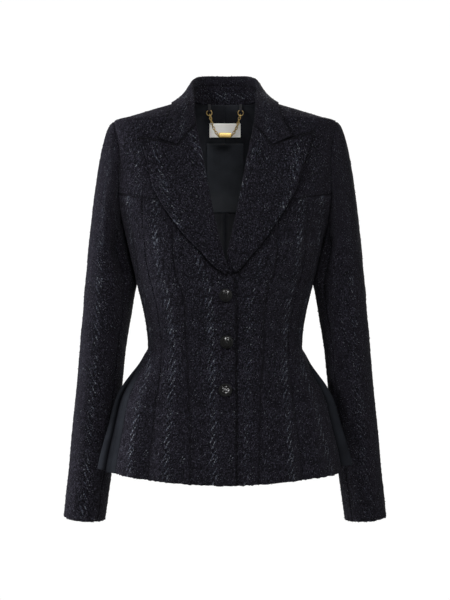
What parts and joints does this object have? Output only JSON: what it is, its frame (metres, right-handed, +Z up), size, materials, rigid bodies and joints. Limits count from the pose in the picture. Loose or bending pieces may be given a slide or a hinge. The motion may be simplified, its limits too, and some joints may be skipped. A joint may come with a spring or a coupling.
{
  "type": "blazer",
  "caption": "Fitted tweed blazer with peak lapels, nipped waist, flared skirt with pleated side inserts, domed front buttons and a chain hanger inside the neck.",
  "frame": {"origin": "on the body's axis at the height of the neck seam, between the shoulders that carry the blazer", "axes": "+Z up, the front faces -Y, the wearer's left is +X"},
  "size_m": [0.5246, 0.2793, 0.7228],
  "materials": {
    "black_tweed": "rough woven boucle tweed",
    "black_crepe": "smooth matt crepe",
    "black_satin_lining": "satin lining",
    "white_label_cloth": "woven label, bare",
    "dark_label_cloth": "satin label, bare",
    "black_tab_cloth": "woven tape",
    "gold_metal": "polished gold plating",
    "black_button": "gloss, hammered dome"
  },
  "bodies": {
    "jacket": {"yoke_front_right": "black_tweed", "front_centre_right": "black_tweed", "front_middle_right": "black_tweed", "front_side_right": "black_tweed", "back_side_right": "black_tweed", "back_centre_right": "black_tweed", "sleeve_top_right": "black_tweed", "sleeve_under_right": "black_tweed", "lapel_right": "black_tweed", "side_insert_right": "black_crepe", "lining_back_right": "black_satin_lining", "hanger_tab_right": "black_tab_cloth", "yoke_front_left": "black_tweed", "front_centre_left": "black_tweed", "front_middle_left": "black_tweed", "front_side_left": "black_tweed", "back_side_left": "black_tweed", "back_centre_left": "black_tweed", "sleeve_top_left": "black_tweed", "sleeve_under_left": "black_tweed", "lapel_left": "black_tweed", "side_insert_left": "black_crepe", "lining_back_left": "black_satin_lining", "hanger_tab_left": "black_tab_cloth", "collar_fall": "black_tweed", "collar_stand": "black_tweed", "label_white": "white_label_cloth", "label_dark": "dark_label_cloth", "button_top": "black_button", "button_middle": "black_button", "button_bottom": "black_button"},
    "hanger": {"hanger_plate": "gold_metal", "hanger_ring_right": "gold_metal", "hanger_ring_left": "gold_metal", "hanger_chain_right": "gold_metal", "hanger_chain_left": "gold_metal"}
  },
  "joints": [
    {"name": "hanger_swing", "type": "hinge", "parent": "jacket", "child": "hanger", "pos_m": [0, 0.0475, -0.0029], "axis": [-1, 0, 0], "range_deg": [-20, 160]}
  ]
}
